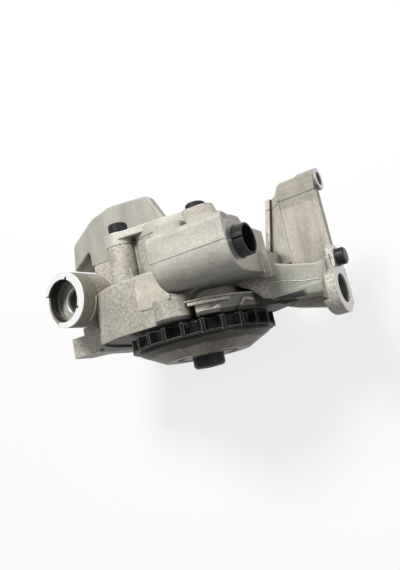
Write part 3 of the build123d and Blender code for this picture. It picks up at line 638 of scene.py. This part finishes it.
# part of a ring at the foot of the valve barrel, turns in degrees
barrelFootRing = {"name": "barrelFootRing", "radius": 0.42, "ringRadius": 14.6, "depth": -8.6,
                  "from": -6, "to": -62, "steps": 7}


def ringPoints(look):
    centre = Vector(valvePoint) / mm + Vector(valveAxis) * look["depth"]
    points = []
    for step in range(look["steps"]):
        turn = math.radians(look["from"] + (look["to"] - look["from"]) * step / (look["steps"] - 1))
        across = math.cos(turn)
        outward = Vector((across * math.cos(valveTilt), math.sin(turn), across * math.sin(valveTilt)))
        points.append(tuple(centre + outward * look["ringRadius"]))
    return points


makeBead(dict(barrelFootRing, points=ringPoints(barrelFootRing)))

# crowned front edge of the arm: a wedge along its sloping front, each station with its X and front Y
armBrow = {"stations": [(46.5, 6.2), (51.0, 4.9), (56.0, 3.9), (61.0, 3.2), (66.0, 2.7), (68.2, 2.4)],
           "top": 6.5, "drop": 1.6, "back": 7.8, "round": 1.9}


def makeArmBrow(look):
    shape = bmesh.new()
    startX, front = look["stations"][0]
    back, top, foot = look["back"] + 0.5, look["top"], look["top"] - look["drop"]
    crest = top - 0.35
    profile = [(back, top + 0.02), (front + 0.1, crest), (front, foot - 2.4), (front + 3.0, foot - 2.2),
               (back, top - 1.4)]
    start = shape.faces.new([shape.verts.new((startX * mm, y * mm, z * mm)) for y, z in profile])
    face = start
    for stationX, nextFront in look["stations"][1:]:
        made = bmesh.ops.extrude_face_region(shape, geom=[face])["geom"]
        if face is not start and face.is_valid:
            bmesh.ops.delete(shape, geom=[face], context="FACES_ONLY")
        face = [item for item in made if isinstance(item, bmesh.types.BMFace)][0]
        for vert in [item for item in made if isinstance(item, bmesh.types.BMVert)]:
            vert.co.x = stationX * mm
            if vert.co.y < (look["back"] - 0.1) * mm:
                vert.co.y += (nextFront - front) * mm
        front = nextFront
    edges = [edge for edge in shape.edges
             if all(abs(vert.co.z - crest * mm) < 0.01 * mm for vert in edge.verts)]
    bmesh.ops.bevel(shape, geom=edges, offset=look["round"] * mm, offset_type="OFFSET", segments=5,
                    profile=0.5, affect="EDGES", material=-1, clamp_overlap=True)
    mesh = bpy.data.meshes.new("armBrow")
    shape.to_mesh(mesh)
    shape.free()
    finishPiece("armBrow", mesh, materials["cast_body"])


makeArmBrow(armBrow)
print("cast details made")


# Floor, light and camera

floorLook = {"level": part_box("pump_body")[0].z - 0.2 * mm, "halfSize": 3.0, "bounce": (0.26, 0.26, 0.26, 1),
             "seen": (0.20, 0.195, 0.195, 1), "glow": 0.775}


# 1 where the ray comes from the camera, a mirror or glass, and 0 elsewhere
def seenRay(tree):
    path = put(tree, "ShaderNodeLightPath")
    seen = calc(tree, "MAXIMUM", path.outputs["Is Camera Ray"], path.outputs["Is Glossy Ray"])
    return calc(tree, "MAXIMUM", seen, path.outputs["Is Transmission Ray"])


def makeFloor(look):
    mesh = bpy.data.meshes.new("floor")
    shape = bmesh.new()
    bmesh.ops.create_grid(shape, x_segments=1, y_segments=1, size=look["halfSize"])
    bmesh.ops.translate(shape, verts=shape.verts, vec=(0, 0, look["level"]))
    shape.to_mesh(mesh)
    shape.free()
    floor = bpy.data.objects.new("floor", mesh)
    scene.collection.objects.link(floor)
    material = bpy.data.materials.new("paleFloor")
    material.use_nodes = True
    tree = material.node_tree
    tree.nodes.clear()
    plain = put(tree, "ShaderNodeBsdfDiffuse", None, {"Color": look["bounce"]})
    shaded = put(tree, "ShaderNodeBsdfDiffuse", None, {"Color": look["seen"]})
    glow = put(tree, "ShaderNodeEmission", None, {"Color": (1, 1, 1, 1), "Strength": look["glow"]})
    both = put(tree, "ShaderNodeAddShader", None, {0: shaded.outputs[0], 1: glow.outputs[0]})
    chosen = put(tree, "ShaderNodeMixShader", None,
                 {0: seenRay(tree), 1: plain.outputs[0], 2: both.outputs[0]})
    put(tree, "ShaderNodeOutputMaterial", None, {0: chosen.outputs[0]})
    mesh.materials.append(material)


makeFloor(floorLook)

worldLook = {"color": (0.98, 0.99, 1.0, 1), "light": 0.13, "seen": 1.0}
world = bpy.data.worlds.new("studio")
scene.world = world
world.use_nodes = True
worldTree = world.node_tree
strength = mixValue(worldTree, seenRay(worldTree), worldLook["light"], worldLook["seen"])
connect(worldTree, worldTree.nodes["Background"], {0: worldLook["color"], 1: strength})

lampTarget = Vector((0.0, 0.02, 0.0))
lamps = [
    {"name": "keyBehind", "at": (-0.03, 0.77, 0.90), "size": (0.36, 0.30), "watts": 15.5,
     "color": (1, 0.985, 0.955)},
    {"name": "overhead", "at": (-0.40, 0.05, 1.0), "size": (0.5, 0.5), "watts": 0.7, "color": (1, 1, 1)},
    {"name": "rightFill", "at": (0.92, 0.12, 0.34), "size": (0.5, 0.4), "watts": 2.6, "color": (1, 1, 1)},
    {"name": "frontFill", "at": (0.25, -0.8, 0.45), "size": (0.8, 0.5), "watts": 0.15,
     "color": (0.97, 0.98, 1)},
]
for lamp in lamps:
    data = bpy.data.lights.new(lamp["name"], "AREA")
    data.shape = "RECTANGLE"
    data.size, data.size_y = lamp["size"]
    data.energy = lamp["watts"]
    data.color = lamp["color"]
    holder = bpy.data.objects.new(lamp["name"], data)
    scene.collection.objects.link(holder)
    holder.location = lamp["at"]
    holder.rotation_euler = (lampTarget - holder.location).to_track_quat("-Z", "Y").to_euler()

# the camera's own right, up and back directions, and its place
cameraLook = {"lens": 37.89, "sensor": 36, "right": (0.8397, -0.2089, -0.5012), "up": (0.2763, 0.959, 0.0632),
              "back": (0.4675, -0.1916, 0.863), "at": (0.1470, -0.0337, 0.2640)}
cameraData = bpy.data.cameras.new("camera")
cameraData.lens = cameraLook["lens"]
cameraData.sensor_width = cameraLook["sensor"]
camera = bpy.data.objects.new("camera", cameraData)
scene.collection.objects.link(camera)
ways = [cameraLook[key] for key in ("right", "up", "back", "at")]
camera.matrix_world = Matrix([[way[row] for way in ways] for row in range(3)] + [[0, 0, 0, 1]])
scene.camera = camera
scene.view_settings.view_transform = "Standard"
print("stage set")
